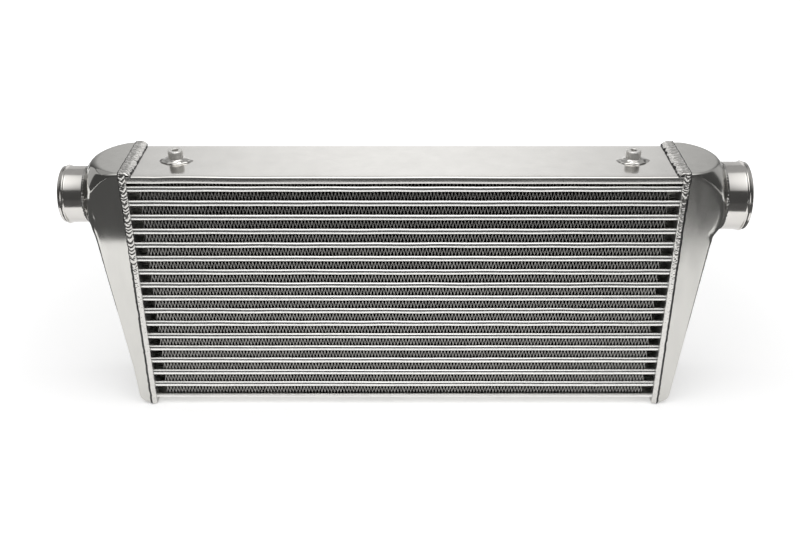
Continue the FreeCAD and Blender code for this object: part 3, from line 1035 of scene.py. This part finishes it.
def add_cards():
    """Dark and light glowing cards, seen only in reflections: painted reflections that give the metal
    its bands.
    """
    stage = settings("stage")
    edge, far, dark, above_floor = -0.47, -8.0, 0.10, 0.001
    card("dark_floor", level((-4, 4), (far, edge), above_floor), dark)
    flags = ((-0.52, -0.1, 1.2), (-0.62, edge, -0.1), (0.48, -0.1, 1.2), (0.60, edge, -0.1))
    for inner, near, back in flags:
        outer = math.copysign(1.6, inner)
        card("side_flag", level((inner, outer), (near, back), above_floor), dark)
    half, back, top = 2.0, 1.7, 1.5
    for wall in (-half, half):
        card("side_card", upright((wall, 0.5), (wall, back), (0.2, top)), 0.5)
    card("back_card", upright((-half, back), (half, back), (0.0, top)), 0.98,
         fade=(1 / 0.85, 0, 0))
    wide, deep, height = stage.box_width, stage.box_depth, stage.box_height
    front = -stage.box_forward - deep / 2
    card("softbox_face", level((-wide / 2, wide / 2), (front, front + deep), height), 2.0,
         centre=(0, -0.2, height), fade=(1 / 0.55, 1 / 0.75, 0))
    card("ceiling", level((-half, half), (0.3, 1.75), 1.6), 0.41)


def floor_material(glow):
    """Matt white that adds its own whiteness, most of all away from the object.

    The camera sees that whiteness in full, and reflections see a part of it.
    """
    seen_in_gloss = 0.78
    material = bpy.data.materials.new("floor_paper")
    tree = cleared(material)
    matt = new_node(tree, "ShaderNodeBsdfDiffuse", {"Color": (0.96, 0.96, 0.96, 1.0)})
    place = new_node(tree, "ShaderNodeTexCoord")
    away = vector_node(tree, "LENGTH", (place, "Object"))
    reach = new_node(tree, "ShaderNodeMapRange",
                     {"Value": (away, "Value"), "From Min": 0.45, "From Max": 1.2,
                      "To Min": glow, "To Max": 1.0}, interpolation_type="SMOOTHSTEP")
    white = new_node(tree, "ShaderNodeEmission", {"Strength": (reach, "Result")})
    both = new_node(tree, "ShaderNodeAddShader", {0: (matt, 0), 1: (white, 0)})
    ray = new_node(tree, "ShaderNodeLightPath")
    part = math_node(tree, "MULTIPLY", (ray, "Is Glossy Ray"), seen_in_gloss)
    seen = math_node(tree, "MAXIMUM", (ray, "Is Camera Ray"), (part, 0))
    clear = math_node(tree, "MAXIMUM", (seen, 0), (ray, "Is Transmission Ray"))
    choice = new_node(tree, "ShaderNodeMixShader",
                      {"Fac": (clear, 0), 1: (matt, 0), 2: (both, 0)})
    new_node(tree, "ShaderNodeOutputMaterial", {"Surface": (choice, 0)})
    return material


def add_floor():
    """Wide pale floor under the object."""
    reach = (-8.0, 8.0)
    sheet("floor", level(reach, reach, 0), floor_material(settings("stage").glow))


def add_softbox():
    """Lamp above and in front, whose face in reflections is a card."""
    stage = settings("stage")
    light = bpy.data.lights.new("softbox", "AREA")
    light.shape = "RECTANGLE"
    light.size = stage.box_width
    light.size_y = stage.box_depth
    light.energy = stage.light * math.pi * stage.box_width * stage.box_depth
    lamp = placed("softbox", light)
    lamp.location = (0, -stage.box_forward, stage.box_height)
    lamp.visible_camera = False
    lamp.visible_glossy = False


def add_world():
    """White behind the object, dim in reflections, and a grey fill elsewhere."""
    world = bpy.data.worlds.new("studio")
    bpy.context.scene.world = world
    tree = cleared(world)
    room, dark, white = [
        new_node(tree, "ShaderNodeBackground", {"Color": (grey, grey, grey, 1.0)})
        for grey in (0.32, 0.07, 1.0)]
    ray = new_node(tree, "ShaderNodeLightPath")
    reflected = new_node(tree, "ShaderNodeMixShader",
                         {"Fac": (ray, "Is Glossy Ray"), 1: (room, 0), 2: (dark, 0)})
    seen = new_node(tree, "ShaderNodeMixShader",
                    {"Fac": (ray, "Is Camera Ray"), 1: (reflected, 0), 2: (white, 0)})
    new_node(tree, "ShaderNodeOutputWorld", {"Surface": (seen, 0)})


def add_camera():
    """Camera at the photograph's height, tilt and framing."""
    stage = settings("stage")
    view = bpy.data.cameras.new("camera")
    view.lens = stage.lens
    view.sensor_width = 36.0
    view.shift_x = stage.camera_shift
    camera = placed("camera", view)
    camera.location = (0, -stage.camera_back, stage.camera_height)
    camera.rotation_euler = Euler((math.pi / 2 - stage.camera_pitch, 0, 0))
    bpy.context.scene.camera = camera


class INTERCOOLER_OT_stage(bpy.types.Operator):
    """Floor, cards, softbox, world and camera"""
    bl_idname = "intercooler.stage"
    bl_label = "Stage"

    def execute(self, context):
        context.scene.view_settings.view_transform = "Standard"
        add_floor()
        add_cards()
        add_softbox()
        add_world()
        add_camera()
        return {"FINISHED"}


OPERATORS = (
    INTERCOOLER_OT_side_plates,
    INTERCOOLER_OT_core_tubes,
    INTERCOOLER_OT_air_fins,
    INTERCOOLER_OT_end_tanks,
    INTERCOOLER_OT_hose_pipes,
    INTERCOOLER_OT_pipe_welds,
    INTERCOOLER_OT_tank_welds,
    INTERCOOLER_OT_bosses,
    INTERCOOLER_OT_inner_pieces,
    INTERCOOLER_OT_stage,
)


class INTERCOOLER_PT_pieces(bpy.types.Panel):
    """The pieces of the intercooler"""
    bl_label = "Intercooler"
    bl_idname = "INTERCOOLER_PT_pieces"
    bl_space_type = "VIEW_3D"
    bl_region_type = "UI"
    bl_category = "Intercooler"

    def draw(self, context):
        for operator in OPERATORS:
            self.layout.operator(operator.bl_idname)


def register():
    """Adds the classes, and the groups of settings to the scene."""
    for cls in (*GROUPS.values(), *OPERATORS, INTERCOOLER_PT_pieces):
        bpy.utils.register_class(cls)
    for name, group in GROUPS.items():
        setattr(bpy.types.Scene, PREFIX + name, PointerProperty(type=group))


def unregister():
    """Takes the settings and the classes away again."""
    for name in GROUPS:
        delattr(bpy.types.Scene, PREFIX + name)
    for cls in (INTERCOOLER_PT_pieces, *reversed(OPERATORS), *GROUPS.values()):
        bpy.utils.unregister_class(cls)


def main():
    """Makes every piece and the stage."""
    register()
    for operator in OPERATORS:
        group, action = operator.bl_idname.split(".")
        getattr(getattr(bpy.ops, group), action)()


if __name__ == "__main__":
    main()
